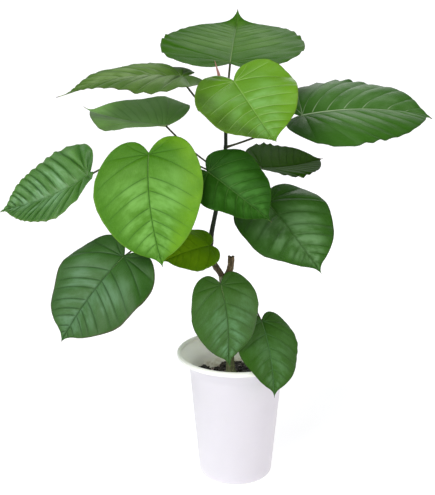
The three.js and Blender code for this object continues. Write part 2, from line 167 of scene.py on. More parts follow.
def coating(name, rule, **values):
    """A material. Its rule gets the place and gives a colour, a roughness and a height in metres."""
    material = bpy.data.materials.new(name)
    material.use_nodes = True
    tree = material.node_tree
    colour, roughness, height = rule(flow(tree, "ShaderNodeTexCoord", output="Object"))
    bump = node(tree, "ShaderNodeBump", {"Distance": 1, "Height": height})
    fed = {"Base Color": colour, "Roughness": roughness, "Normal": bump}
    fed.update({label.replace("_", " "): value for label, value in values.items()})
    for label, value in fed.items():
        join(tree, value, tree.nodes["Principled BSDF"].inputs[label])
    return material


def floor_paint(place):
    colour = tinted(clouds(place, 3), srgb(204, 204, 206), srgb(208, 208, 210))
    return colour, clouds(place, 9) * 0.1 + 0.8, clouds(place, 400) * 0.0001


FLOOR_RADIUS = 450
FLOOR_CORNERS = 96
floor_mesh = bpy.data.meshes.new("floor")
floor_turns = [i * math.tau / FLOOR_CORNERS for i in range(FLOOR_CORNERS)]
floor_ring = [(FLOOR_RADIUS * math.cos(turn), FLOOR_RADIUS * math.sin(turn), 0) for turn in floor_turns]
floor_mesh.from_pydata(floor_ring, [], [range(FLOOR_CORNERS)])
floor_mesh.materials.append(coating(
    "pale floor", floor_paint, Emission_Color=(1, 1, 1, 1), Emission_Strength=0.64))
floor = bpy.data.objects.new("floor", floor_mesh)
bpy.context.collection.objects.link(floor)

room = bpy.data.worlds.new("pale room")
room.use_nodes = True
walls = room.node_tree
to_right, to_back, to_top = parts(flow(walls, "ShaderNodeTexCoord", output="Generated"))
ceiling = to_top.ramp(0.05, 0.75)
wall_right = to_right.ramp(0.2, 0.9) * (1 - ceiling)
wall_paint = tinted(wall_right * 0.6, (0.95, 0.97, 1.0, 1), (0.72, 0.60, 0.60, 1))
room_paint = tinted(ceiling, wall_paint, (0.24, 0.25, 0.26, 1))
seen = flow(walls, "ShaderNodeLightPath", output="Is Camera Ray")
backdrop = tinted(seen, room_paint, (1.05, 1.05, 1.05, 1))
join(walls, backdrop, walls.nodes["Background"].inputs["Color"])
join(walls, 0.95, walls.nodes["Background"].inputs["Strength"])
bpy.context.scene.world = room


# Pot: an injection-moulded nursery pot of white satin polypropylene. Its wall flares like a
# trumpet into a rolled lip, and its underside is recessed, with four drain holes.
MM = 0.001
POT_SIDES = 192
DRAIN_HOLES = 4
DRAIN_RADIUS = 4
DRAIN_CIRCLE = 32


def lay(piece, slot, *nodes):
    """Every piece stands still with the pot, and takes the place of its plain solids."""
    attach(piece, "root")
    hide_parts(*nodes)


def new_piece(name, mesh):
    piece = bpy.data.objects.new(name, mesh)
    bpy.context.collection.objects.link(piece)
    return piece


def evaluated(piece):
    """The piece's modifiers made into its mesh, and taken off."""
    graph = bpy.context.evaluated_depsgraph_get()
    mesh = bpy.data.meshes.new_from_object(piece.evaluated_get(graph))
    piece.modifiers.clear()
    piece.data = mesh
    return piece


def ringed_piece(name, rings, sides):
    """A closed piece over rings of corners. A ring of one corner closes an end."""
    corners = []
    loops = []
    for ring in rings:
        first = len(corners)
        loops.append(range(first, first + sides) if len(ring) > 1 else [first] * sides)
        corners += ring
    faces = []
    for low, high in zip(loops, loops[1:]):
        for i in range(sides):
            k = (i + 1) % sides
            faces.append(tuple(dict.fromkeys((low[i], low[k], high[k], high[i]))))
    mesh = bpy.data.meshes.new(name)
    mesh.from_pydata(corners, [], faces)
    return new_piece(name, mesh)


def turned(name, profile, sides):
    """A closed turned shape from (radius, height) points in mm, from the axis round to the axis."""
    turns = [i * math.tau / sides for i in range(sides)]
    return ringed_piece(name, [
        [(radius * MM * math.cos(turn), radius * MM * math.sin(turn), height * MM)
         for turn in (turns if radius else turns[:1])]
        for radius, height in profile], sides)


def arc(centre, radii, start, end, steps=8):
    """Points on part of an ellipse about a (radius, height) centre, for a moulded corner."""
    turns = [math.radians(start + (end - start) * i / steps) for i in range(steps + 1)]
    return [(centre[0] + radii[0] * math.cos(turn), centre[1] + radii[1] * math.sin(turn))
            for turn in turns]


def trumpet(foot, rim, steps=18):
    """The flaring curve of the pot's mouth, from its foot to its rim."""
    return [(foot[0] + (rim[0] - foot[0]) * (i / steps) ** 2.2, foot[1] + (rim[1] - foot[1]) * i / steps)
            for i in range(steps + 1)]


underside = [
    (0, 0), (15.6, 0), (16.2, 0.4), (16.9, 1.3), (17.6, 1.5), (44.3, 1.5), (45.1, 1.2), (45.8, 0.3),
    (46.6, 0),
]
heel = arc((49.7, 8), (8, 8), -90, 0)
outer_wall = [(58.2, 14), (60.2, 36), (63.2, 70), (66.4, 105), (69.6, 142)]
outer_flare = trumpet((72.3, 172), (89, 197))
lip = arc((89, 201), (3.5, 4), -90, 200, 32)[1:]
inner_flare = trumpet((69.3, 172), (86.5, 199.3))[::-1]
inner_wall = [(66.6, 142), (63.4, 105), (60.2, 70), (56.6, 30), (54.9, 12), (53.4, 7), (50, 5), (0, 5)]
pot = turned("pot_shell", [
    *underside, *heel, *outer_wall, *outer_flare, *lip, *inner_flare, *inner_wall], POT_SIDES)
drill_profile = [(0, -4), (DRAIN_RADIUS, -4), (DRAIN_RADIUS, 9), (0, 9)]
drills = [turned("drain drill", drill_profile, 24) for i in range(DRAIN_HOLES)]
for i, drill in enumerate(drills):
    angle = math.radians(45 + i * 360 / DRAIN_HOLES)
    side_step = (DRAIN_CIRCLE * MM * math.cos(angle), DRAIN_CIRCLE * MM * math.sin(angle), 0)
    drill.data.transform(Matrix.Translation(side_step))
    cut = pot.modifiers.new("drain hole", "BOOLEAN")
    cut.operation = "DIFFERENCE"
    cut.object = drill
evaluated(pot)
for drill in drills:
    bpy.data.objects.remove(drill)


def stretched(place, scale):
    return flow(place.tree, "ShaderNodeMapping", {"Vector": place, "Scale": scale})


def pot_plastic(place):
    """White outside, the inside and the lip painted near white as painted light for the light through the
    thin wall, scuffed at the foot, and with a film of dirt over the soil.
    """
    x, y, z = parts(place)
    radius = (x * x + y * y) ** 0.5
    flare = (z - 0.172).most(0) / 0.030
    inside = 1 - (radius - z * 0.0868 - flare ** 2.2 * 0.0165).ramp(0.0555, 0.0562)
    inside = inside.most(z.ramp(0.1964, 0.1974))
    base = tinted(clouds(place, 26), srgb(222, 219, 226), srgb(217, 214, 221))
    scuffs = clouds(stretched(place, (90, 90, 900)), 1, 2).ramp(0.63, 0.75)
    low = 1 - z.ramp(0.0, 0.03)
    base = tinted(scuffs * low * 0.3 + scuffs * 0.04, base, srgb(190, 184, 182))
    # Painted light: the inner wall and the rolled lip are painted near white, lighter than the outside, for
    # the light that comes through the thin wall and falls on the lip.
    base = tinted(inside * 0.9, base, srgb(252, 253, 243))
    film = inside * (1 - z.ramp(0.160, 0.172)) * clouds(place, 160, 4).ramp(0.3, 0.7)
    colour = tinted(film * 0.5, base, srgb(150, 136, 118))
    return colour, clouds(place, 60, 4) * 0.16 + 0.34, clouds(place, 900, 2) * 0.00006


pot.data.materials.clear()
pot.data.materials.append(coating(
    "white satin plastic", pot_plastic, Specular_IOR_Level=0.45, Subsurface_Weight=0.6,
    Subsurface_Radius=(0.007, 0.007, 0.0064), Subsurface_Scale=1.0))
pot.data.shade_smooth()
pot.data.set_sharp_from_angle(angle=math.radians(50))
lay(pot, "pot_plastic", "pot")


# Soil: a peat mix topped with chips of composted bark and a few bits of pumice. It has settled at
# the wall, most of all at the back left. The chips lie loose, pressed into the mix.
SOIL_TOP = 161
SOIL_SIDES = 120


def smooth(value, start, end):
    share = min(1, max(0, (value - start) / (end - start)))
    return share * share * (3 - 2 * share)


soil_wall = [(49.2, 5.3), (54.2, 10), (67.5, 158)]
soil_top = [(66.6, 159), *[(65.4 - 1.5 * i, 159.4 + 1.6 * min(1, i / 13)) for i in range(43)]]
soil = turned("soil_mix", [(0, 5.3), *soil_wall, *soil_top, (0, SOIL_TOP)], SOIL_SIDES)
for vertex in soil.data.vertices:
    x, y, z = vertex.co
    if z > 0.158:
        vertex.co.z += 0.0011 * noise.fractal(vertex.co * 90, 1.0, 2.0, 3) - 0.0009
        vertex.co.z += 0.0048 * smooth(-x, 0.01, 0.06)
    if z > 0.157:
        at_left = smooth(-x, 0.016, 0.03) * (1 - smooth(-x, 0.04, 0.052))
        vertex.co.z -= 0.008 * smooth(y, -0.02, 0.02) * at_left


def new_tree(name, kind, taken, given):
    """An empty node tree, and its named inputs. Both lists of sockets go by their kind."""
    tree = bpy.data.node_groups.new(name, kind)
    for way, sockets in (("INPUT", taken), ("OUTPUT", given)):
        for socket_kind, labels in sockets.items():
            for label in labels:
                tree.interface.new_socket(name=label, in_out=way, socket_type="NodeSocket" + socket_kind)
    return tree, {socket.name: Flow(tree, socket) for socket in node(tree, "NodeGroupInput").outputs}


def vector_step(operation, first, second):
    """One step of arithmetic with places. A SCALE takes a number as its second value."""
    second_socket = "Scale" if operation == "SCALE" else 1
    return flow(first.tree, "ShaderNodeVectorMath", {0: first, second_socket: second}, operation=operation)


def chip_spreader():
    """Chips dealt out over the level top of the soil, each with its own size, turn and shape."""
    tree, taken = new_tree(
        "chip spreader", "GeometryNodeTree", {
            "Geometry": ["Soil"], "Float": ["Chips per square metre", "Chip length", "Reach"],
            "Int": ["Seed"], "Material": ["Finish"]}, {"Geometry": ["Chips"]})
    upward = parts(flow(tree, "GeometryNodeInputNormal"))[2].over(0.6)
    x, y, z = parts(flow(tree, "GeometryNodeInputPosition"))
    within = ((x * x + y * y) ** 0.5).under(taken["Reach"])
    spread = node(tree, "GeometryNodeDistributePointsOnFaces", {
        "Mesh": taken["Soil"], "Selection": upward * within, "Density": taken["Chips per square metre"],
        "Seed": taken["Seed"]})
    chip = node(tree, "GeometryNodeMeshIcoSphere", {"Radius": 0.5, "Subdivisions": 2})
    turn = flow(tree, "FunctionNodeRandomValue", {
        "Min": (-0.55, -0.55, 0), "Max": (0.55, 0.55, math.tau), "Seed": taken["Seed"]},
        data_type="FLOAT_VECTOR")
    size = flow(tree, "FunctionNodeRandomValue", {"Min": (0.35, 0.35, 0.3), "Max": (1.0, 0.8, 0.65)},
                data_type="FLOAT_VECTOR")
    deal = node(tree, "GeometryNodeInstanceOnPoints", {
        "Points": spread, "Instance": chip, "Rotation": turn,
        "Scale": vector_step("SCALE", size, taken["Chip length"])})
    tint = flow(tree, "FunctionNodeRandomValue", output=1)
    kept = node(tree, "GeometryNodeStoreNamedAttribute", {
        "Geometry": deal, "Name": "tint", "Value": tint}, domain="INSTANCE")
    real = node(tree, "GeometryNodeRealizeInstances", {0: kept})
    rough = flow(tree, "ShaderNodeTexNoise", {"Scale": 330, "Detail": 1}, "Color")
    shake = vector_step("SUBTRACT", rough, (0.5, 0.5, 0.5))
    shaped = node(tree, "GeometryNodeSetPosition", {
        "Geometry": real, "Offset": vector_step("SCALE", shake, 0.0052)})
    finish = node(tree, "GeometryNodeSetMaterial", {"Geometry": shaped, "Material": taken["Finish"]})
    node(tree, "NodeGroupOutput", {0: finish})
    return tree


def dress(piece, tree, **values):
    """A Geometry Nodes modifier with its inputs set by the sockets' identifiers."""
    modifier = piece.modifiers.new(tree.name, "NODES")
    modifier.node_group = tree
    for socket in tree.interface.items_tree:
        label = socket.name.replace(" ", "_")
        if socket.in_out == "INPUT" and label in values:
            modifier[socket.identifier] = values[label]
    return evaluated(piece)


def attribute(tree, name):
    return flow(tree, "ShaderNodeAttribute", output="Fac", attribute_name=name)


def chip_skin(place):
    """Most chips are nearly black, some are red-brown, and a few are bits of pale pumice."""
    tint = attribute(place.tree, "tint")
    dark = tinted(clouds(place, 300), srgb(13, 8, 9), srgb(36, 22, 21))
    red = tinted(clouds(place, 500), srgb(66, 42, 34), srgb(98, 68, 54))
    pale = tinted(clouds(place, 900), srgb(222, 208, 210), srgb(170, 146, 148))
    colour = tinted(tint.over(0.955), tinted(tint.over(0.86), dark, red), pale)
    fibres = clouds(stretched(place, (1, 2.5, 4)), 900, 4)
    return colour, clouds(place, 700) * 0.4 + 0.16, fibres * 0.0006


def peat(place):
    crumbs = clouds(place, 420, 5).ramp(0.35, 0.7)
    colour = tinted(crumbs, srgb(12, 8, 8), srgb(40, 28, 25))
    return colour, clouds(place, 200) * 0.2 + 0.75, clouds(place, 700, 6) * 0.0012


chips = dress(
    new_piece("soil_chips", soil.data.copy()), chip_spreader(),
    Chips_per_square_metre=46000.0, Chip_length=0.0104, Reach=0.0625, Seed=7,
    Finish=coating("bark chips", chip_skin))
soil.data.materials.append(coating("peat mix", peat))
for piece in (soil, chips):
    piece.data.shade_smooth()
    lay(piece, "soil", "soil")


# Trunk: the woody foot of the old leader, grey-brown bark over green, flared where it leaves the soil, with
# the rings that dropped leaves left, and small corky lenticels.
TRUNK_RADIUS = 6.6
TRUNK_TOP_RADIUS = 6.1
FLARE_RADIUS = 11
FLARE_SHARE = 0.24
TRUNK_SCARS = (27, 43, 61, 82, 100, 122, 140, 157)
RING_STEP = 0.7


def curve_through(knots, steps=40):
    """The smooth path through the knots, in mm, that the plant's limbs grow along."""
    knots = [np.array(knot, float) for knot in knots]
    knots = [2 * knots[0] - knots[1], *knots, 2 * knots[-1] - knots[-2]]
    path = []
    for a, b, c, d in zip(knots, knots[1:], knots[2:], knots[3:]):
        before, middle, after = [np.linalg.norm(q - p) ** 0.5 for p, q in ((a, b), (b, c), (c, d))]
        leave = (b - a) / before - (c - a) / (before + middle) + (c - b) / middle
        arrive = (c - b) / middle - (d - b) / (middle + after) + (d - c) / after
        leave, arrive = leave * middle, arrive * middle
        for i in range(steps):
            t = i / steps
            path.append(b + leave * t + (3 * (c - b) - 2 * leave - arrive) * t ** 2
                        + (2 * (b - c) + leave + arrive) * t ** 3)
    path.append(knots[-2])
    return np.array(path)


def lengths(path):
    """How far along the path each of its points is."""
    return np.concatenate([[0], np.cumsum(np.linalg.norm(np.diff(path, axis=0), axis=1))])


def point_at(path, far):
    return np.array([np.interp(far, lengths(path), path[:, i]) for i in range(3)])


def far_at_height(path, height):
    return float(np.interp(height, path[:, 2], lengths(path)))


def skinned(name, path, stations, sides):
    """A closed limb: rings at (distance along, radius) in mm, each square to the path."""
    turns = [i * math.tau / sides for i in range(sides)]
    reach = lengths(path)[-1]
    side = np.array([1.0, 0, 0])
    rings = []
    for far, radius in stations:
        far = min(max(far, 0), reach)
        centre = point_at(path, far)
        heading = point_at(path, far + 1) - point_at(path, far - 1)
        heading = heading / np.linalg.norm(heading)
        side = side - heading * side.dot(heading)
        side /= np.linalg.norm(side)
        other = np.cross(heading, side)
        rings.append([
            tuple((centre + radius * (side * math.cos(turn) + other * math.sin(turn))) * MM)
            for turn in (turns if radius else turns[:1])])
    limb = ringed_piece(name, rings, sides)
    limb.data.shade_smooth()
    return limb


def joined(tree, *geometries):
    made = node(tree, "GeometryNodeJoinGeometry")
    for geometry in reversed(geometries):
        join(tree, geometry, made.inputs[0])
    return made


def bark_grower():
    """Long grain and lumps raised along the surface, and lenticels scattered over it."""
    tree, taken = new_tree(
        "bark grower", "GeometryNodeTree", {
            "Geometry": ["Limb"], "Float": ["Grain", "Lumps", "Lenticels per square metre", "Lenticel size"],
            "Int": ["Seed"], "Material": ["Finish"]}, {"Geometry": ["Bark"]})
    place = flow(tree, "GeometryNodeInputPosition")
    fibres = clouds(vector_step("MULTIPLY", place, (1, 1, 0.22)), 620, 2) - 0.5
    lumps = clouds(place, 95, 1) - 0.5
    raised = fibres * taken["Grain"] + lumps * taken["Lumps"]
    rough = node(tree, "GeometryNodeSetPosition", {
        "Geometry": taken["Limb"],
        "Offset": vector_step("SCALE", flow(tree, "GeometryNodeInputNormal"), raised)})
    spread = node(tree, "GeometryNodeDistributePointsOnFaces", {
        "Mesh": rough, "Density": taken["Lenticels per square metre"], "Seed": taken["Seed"]})
    dot = node(tree, "GeometryNodeMeshIcoSphere", {"Radius": 0.5, "Subdivisions": 2})
    squat = node(tree, "GeometryNodeTransform", {"Geometry": dot, "Scale": (0.75, 1.5, 0.45)})
    largest = taken["Lenticel size"]
    size = flow(tree, "FunctionNodeRandomValue", {2: largest * 0.55, 3: largest}, 1)
    deal = node(tree, "GeometryNodeInstanceOnPoints", {
        "Points": spread, "Instance": squat, "Rotation": spread.outputs["Rotation"], "Scale": size})
    marked = node(tree, "GeometryNodeStoreNamedAttribute", {
        "Geometry": deal, "Name": "lenticel", "Value": 1}, domain="INSTANCE")
    real = node(tree, "GeometryNodeRealizeInstances", {0: joined(tree, marked, rough)})
    finish = node(tree, "GeometryNodeSetMaterial", {"Geometry": real, "Material": taken["Finish"]})
    node(tree, "NodeGroupOutput", {0: finish})
    return tree


def ringed(far, rings, height, width):
    """The collar that each dropped or standing leaf leaves round its limb."""
    return sum(height * math.exp(-((far - ring) / width) ** 2) for ring in rings)


def trunk_radius(far):
    share = far / trunk_reach
    flare = (FLARE_RADIUS - TRUNK_RADIUS) * (1 - smooth(share, 0, FLARE_SHARE)) ** 2
    collars = ringed(far, TRUNK_SCARS, 0.5, 1.5) - ringed(far, [scar + 3 for scar in TRUNK_SCARS], 0.22, 1.0)
    return flare + TRUNK_RADIUS + (TRUNK_TOP_RADIUS - TRUNK_RADIUS) * share + collars


def long_grain(place, squeeze, scale, detail):
    """Noise drawn out along the limb."""
    return clouds(stretched(place, (1, 1, squeeze)), scale, detail)


def bark_colour(place, low, high, moss, cork):
    base = tinted(long_grain(place, 0.16, 520, 4).ramp(0.35, 0.68), low, high)
    base = tinted(clouds(place, 70).ramp(0.45, 0.7) * 0.7, base, moss)
    return tinted(attribute(place.tree, "lenticel"), base, cork)


def trunk_skin(place):
    colour = bark_colour(place, srgb(92, 96, 66), srgb(142, 144, 110), srgb(98, 116, 66), srgb(172, 168, 136))
    relief = long_grain(place, 0.2, 1400, 4) * 0.0005
    return colour, clouds(place, 300) * 0.2 + 0.7, relief


TRUNK_PATH = curve_through([(-7, 0, 153), (-10.8, 0, 208), (-14.6, 1, 250), (-18.6, 1, 300), (-21.4, 0, 327)])
trunk_reach = lengths(TRUNK_PATH)[-1]
trunk_start = far_at_height(TRUNK_PATH, 161.3)
trunk_stations = [
    (trunk_start, 0), *[(far, trunk_radius(far)) for far in np.arange(trunk_start, trunk_reach, RING_STEP)],
    (trunk_reach - 0.6, 5.9), (trunk_reach, 5.2), (trunk_reach, 0),
]
bark_tree = bark_grower()
trunk = dress(
    skinned("trunk_bark", TRUNK_PATH, trunk_stations, 56), bark_tree,
    Grain=0.0007, Lumps=0.0013, Lenticels_per_square_metre=16000.0, Lenticel_size=0.0013, Seed=3,
    Finish=coating("trunk bark", trunk_skin))
lay(trunk, "bark", "trunk")


# Main stem: the shoot that took over from the pruned leader. Smooth dark green skin, browner at
# its foot, slightly thicker at each joint, where a thin line left by a fallen stipule runs round.
STEM_START_RADIUS = 4.8
STEM_MIDDLE_RADIUS = 3.4
STEM_END_RADIUS = 2.4
STEM_PATH = curve_through([
    (-19.5, 0, 321), (-25.5, 0, 332), (-33.5, -1, 345), (-39.4, -2, 367), (-38, -2, 394),
    (-32, 0, 425), (-24, 1, 475), (-17.3, 0, 520), (-16.8, 0, 546), (-14.6, 0, 609),
])
STEM_JOINTS = (340, 379, 383, 434, 441, 448, 464, 478, 487, 493, 508, 524, 548, 561, 570, 602)
stem_reach = lengths(STEM_PATH)[-1]
stem_joints = [far_at_height(STEM_PATH, joint) for joint in STEM_JOINTS]


def stem_radius(far):
    share = far / stem_reach
    lower = STEM_START_RADIUS + (STEM_MIDDLE_RADIUS - STEM_START_RADIUS) * smooth(share, 0, 0.4)
    thin = lower + (STEM_END_RADIUS - STEM_MIDDLE_RADIUS) * smooth(share, 0.3, 1)
    swollen = thin + ringed(far, stem_joints, 0.14 * thin, 2.2)
    return swollen + ringed(far, [joint + 3.4 for joint in stem_joints], 0.22, 0.45)


def stem_skin(place):
    high = parts(place)[2]
    grain = long_grain(place, 0.12, 700, 3)
    green = tinted(grain.ramp(0.35, 0.7), srgb(13, 22, 11), srgb(32, 46, 22))
    brown = tinted(grain.ramp(0.35, 0.7), srgb(62, 50, 36), srgb(104, 90, 66))
    base = tinted((high + (grain - 0.5) * 0.03).ramp(0.35, 0.405), brown, green)
    colour = tinted(attribute(place.tree, "lenticel"), base, srgb(118, 112, 84))
    relief = long_grain(place, 0.15, 1500, 3) * 0.00025
    return colour, clouds(place, 300) * 0.2 + 0.45, relief


stem_stations = [
    (0, 0), (0, 4.0), *[(far, stem_radius(far)) for far in np.arange(0.8, stem_reach, 0.8)],
    (stem_reach - 0.4, 1.9), (stem_reach, 1.2), (stem_reach, 0),
]
stem = dress(
    skinned("stem_skin", STEM_PATH, stem_stations, 36), bark_tree,
    Grain=0.00022, Lumps=0.0005, Lenticels_per_square_metre=9000.0, Lenticel_size=0.0009, Seed=11,
    Finish=coating("green stem skin", stem_skin, Specular_IOR_Level=0.25))
lay(stem, "green_stem", "main_stem")


# Cut stub: what is left of the old leader above the fork. Brown bark with many lenticels, and a
# healed pruning cut with a raised rim, darkened wood and the hole of the dried-out pith.
STUB_PATH = curve_through([(-19.6, 0, 318), (-13.4, 0, 328.5), (-9.2, 0, 340), (-8, 0, 358)])
STUB_RADIUS = 5.2
STUB_SCARS = (12, 24)
stub_reach = lengths(STUB_PATH)[-1]
stub_end = [
    (1.2, 5.25), (0.5, 5.2), (0.1, 4.9), (0, 4.5), (0.5, 4.0), (0.9, 3.2), (1.0, 2.1), (1.6, 1.6),
    (4, 1.3), (6, 1.1), (6.5, 0),
]
stub_stations = [
    (0, 0), (0, 4.4),
    *[(far, STUB_RADIUS - 0.2 * far / stub_reach + ringed(far, STUB_SCARS, 0.35, 1.3))
      for far in np.arange(RING_STEP, stub_reach - 1.4, RING_STEP)],
    *[(stub_reach - back, radius) for back, radius in stub_end],
]


def notched(piece):
    """The cut wood has dried and split across, so that two low prongs stand at its sides."""
    for vertex in piece.data.vertices:
        high = smooth(vertex.co.z, 0.3520, 0.3565)
        beside = 1 - smooth(abs(vertex.co.x + 0.0084), 0.0004, 0.0026)
        vertex.co.z -= 0.0015 * high * beside
    return piece


def stub_skin(place):
    """Brown bark, and on the cut face yearly rings in darkened wood round the dark pith."""
    bark = bark_colour(place, srgb(72, 56, 36), srgb(124, 102, 74), srgb(84, 84, 46), srgb(176, 158, 128))
    x, y, z = parts(place)
    off_axis = ((x + 0.0082) * (x + 0.0082) + y * y) ** 0.5
    face = z.ramp(0.3562, 0.3569) * (1 - off_axis.ramp(0.0040, 0.0046))
    rings = (off_axis * 9000).sin() * 0.5 + 0.5
    wood = tinted(rings * clouds(place, 900), srgb(84, 64, 50), srgb(128, 102, 82))
    wood = tinted(1 - off_axis.ramp(0.0012, 0.0019), wood, srgb(24, 17, 13))
    relief = long_grain(place, 0.25, 1300, 4) * 0.0006
    return tinted(face, bark, wood), clouds(place, 300) * 0.2 + 0.7, relief


stub = dress(
    notched(skinned("stub_bark", STUB_PATH, stub_stations, 48)), bark_tree,
    Grain=0.0008, Lumps=0.0012, Lenticels_per_square_metre=30000.0, Lenticel_size=0.0014, Seed=5,
    Finish=coating("stub bark and cut", stub_skin))
lay(stub, "bark", "cut_stub")


# Tip bud: the next leaf rolled up in its pointed stipule, a thin papery sheath that is green at
# the foot and dull pink towards the point, with fine lengthwise lines.
BUD_PATH = curve_through([(-15.6, 0, 582), (-19.5, -4, 598), (-25.5, -11, 624), (-33, -22, 651)])
bud_reach = lengths(BUD_PATH)[-1]


def bud_radius(far):
    share = far / bud_reach
    return 1.75 + 0.75 * smooth(share, 0.1, 0.4) - 2.15 * smooth(share, 0.58, 1.03)


def bud_skin(place):
    lines = long_grain(place, 0.2, 1500, 3)
    green = tinted(lines, srgb(78, 96, 44), srgb(118, 130, 66))
    pink = tinted(lines, srgb(150, 92, 84), srgb(196, 142, 130))
    colour = tinted(parts(place)[2].ramp(0.596, 0.628), green, pink)
    relief = long_grain(place, 0.1, 1800, 3) * 0.0003
    return colour, clouds(place, 300) * 0.15 + 0.4, relief


bud_stations = [
    (0, 0), (0, 1.2), *[(far, bud_radius(far)) for far in np.arange(0.6, bud_reach - 0.3, 0.6)],
    (bud_reach, 0),
]
bud = dress(
    skinned("bud_sheath", BUD_PATH, bud_stations, 28), bark_tree,
    Grain=0.0002, Lumps=0.0003, Lenticels_per_square_metre=0.0, Lenticel_size=0.001, Seed=1,
    Finish=coating("bud sheath", bud_skin))
lay(bud, "bud", "tip_bud")


# Leaves: big heart-shaped blades on long round petioles. A thick midrib and pairs of side veins
# are sunk in the satin upper face, which swells between them, and stand out from the pale matt
# underside. The blade turns its face to the light, so it hangs at an angle to its petiole.
WIDEST = 0.30
LOBE_BACK = 0.14
SINUS_RISE = 0.06
LOBE_SHARE = 0.40
DRIP = 0.08
DRIP_START = 70
FAN_SHARE = 0.42
FAN_VEINS = (0.13, 0.27, 0.40)
ROWS_BETWEEN = (0, 0.05, 0.13, 0.25, 0.40, 0.58, 0.74, 0.86, 0.94)
REACHES = (0, 0.012, 0.03, 0.06, *[step / 20 for step in range(2, 19)], 0.94, 0.97, 0.985, 0.995, 1)
HALF_THICKNESS = 0.45
RIB_POINTS = 60
TIP_START = 0.85
PETIOLE_RADIUS = 0.8
PETIOLE_RADIUS_SHARE = 0.0035
JOINT_SINK = 0.7
UNREST_SHARE = 0.014
LEAST_BEND = 1e-4
FIRST_SEED = 100


def margin(around, taper):
    """Flat outline, from 0 in the notch to 1 at the tip: shares of the half width and the length."""
    lobe = np.radians(-120 + 120 * np.clip(around / LOBE_SHARE, 0, 1))
    past = np.clip((-np.pi / 2 - lobe) / np.radians(30), 0, None)
    blade = np.pi / 2 * np.clip((around - LOBE_SHARE) / (1 - LOBE_SHARE), 0, 1)
    drawn = np.clip((np.degrees(blade) - DRIP_START) / (90 - DRIP_START), 0, 1)
    in_lobe = around < LOBE_SHARE
    side = np.cos(blade).clip(0) ** taper * (1 - 0.7 * drawn)
    across = np.where(in_lobe, 1 / 3 + 2 / 3 * np.cos(lobe), side)
    along = np.where(
        in_lobe,
        WIDEST + (WIDEST + LOBE_BACK) * np.sin(lobe) + SINUS_RISE * past ** 2,
        WIDEST + (1 - DRIP - WIDEST) * np.sin(blade) + DRIP * drawn ** 1.5)
    return across, along


def flat_place(around, reach, side, length, width, taper, sweep):
    """A point of the flat blade on the side vein that ends at a place of the margin."""
    across, along = margin(around, taper)
    leaves_midrib = np.clip((around - FAN_SHARE) / (1 - FAN_SHARE), 0, 1) ** sweep
    rise = 0.6 * reach + 0.4 * reach ** 2
    x = side * across * reach * width / 2
    y = (leaves_midrib + (along - leaves_midrib) * rise) * length
    return np.stack(np.broadcast_arrays(x, y), -1)


def flat_net(name, length, width, taper, sweep, pairs, seed):
    """The flat blade as a net of side veins, with what the former and the finish need on each point."""
    dice = random.Random(seed)
    pair_step = 1 / (pairs + 1)
    leaving = [1 - (1 - FAN_SHARE) * (1 - i * pair_step) ** 1.25 for i in range(1, pairs + 1)]
    veins = [vein + dice.uniform(-0.09, 0.09) * pair_step for vein in (*FAN_VEINS, *leaving)]
    veins = [0, *veins, 1]
    rows = [low + (high - low) * part for low, high in zip(veins, veins[1:]) for part in ROWS_BETWEEN] + [1]
    rows = np.array(rows)[:, None]
    reaches = np.array(REACHES)[None, :]
    vein = np.interp(rows[:, 0], veins, range(len(veins)))
    width_of_vein = np.gradient(rows[:, 0], vein)
    labels = ("around", "reach", "vein", "gap", "across", "along")
    values = []
    corners = []
    index = {}
    faces = []
    step = 1e-3
    for side in (-1, 1):
        shape = (side, length, width, taper, sweep)
        here = flat_place(rows, reaches, *shape)
        along_row = flat_place(rows, reaches + step, *shape) - here
        next_row = flat_place(np.minimum(rows + step, 1), reaches, *shape) - here
        turn = along_row[..., 0] * next_row[..., 1] - along_row[..., 1] * next_row[..., 0]
        apart = np.abs(turn) / np.maximum(np.linalg.norm(along_row, axis=-1), 1e-9) / step
        number = np.zeros(here.shape[:2], int)
        for i in range(len(rows)):
            for j in range(len(REACHES)):
                x, y = here[i, j]
                key = (round(x * 1e7), round(y * 1e7))
                if key not in index:
                    index[key] = len(corners)
                    corners.append((x, y, 0))
                    reach = REACHES[j] if i < len(rows) - 1 else 1
                    gap = apart[i, j] * width_of_vein[i]
                    values.append((rows[i, 0], reach, vein[i], gap, x, y / length))
                number[i, j] = index[key]
        for i in range(len(rows) - 1):
            for j in range(len(REACHES) - 1):
                face = [number[i, j], number[i, j + 1], number[i + 1, j + 1], number[i + 1, j]]
                face = list(dict.fromkeys(int(corner) for corner in face[::side]))
                if len(face) > 2:
                    faces.append(face)
    mesh = bpy.data.meshes.new(name)
    mesh.from_pydata(corners, [], faces)
    for label, numbers in zip(labels, np.array(values, np.float32).T):
        mesh.attributes.new(label, "FLOAT", "POINT").data.foreach_set("value", np.ascontiguousarray(numbers))
    return mesh


def combined(*numbers):
    return flow(numbers[0].tree, "ShaderNodeCombineXYZ", dict(enumerate(numbers)))


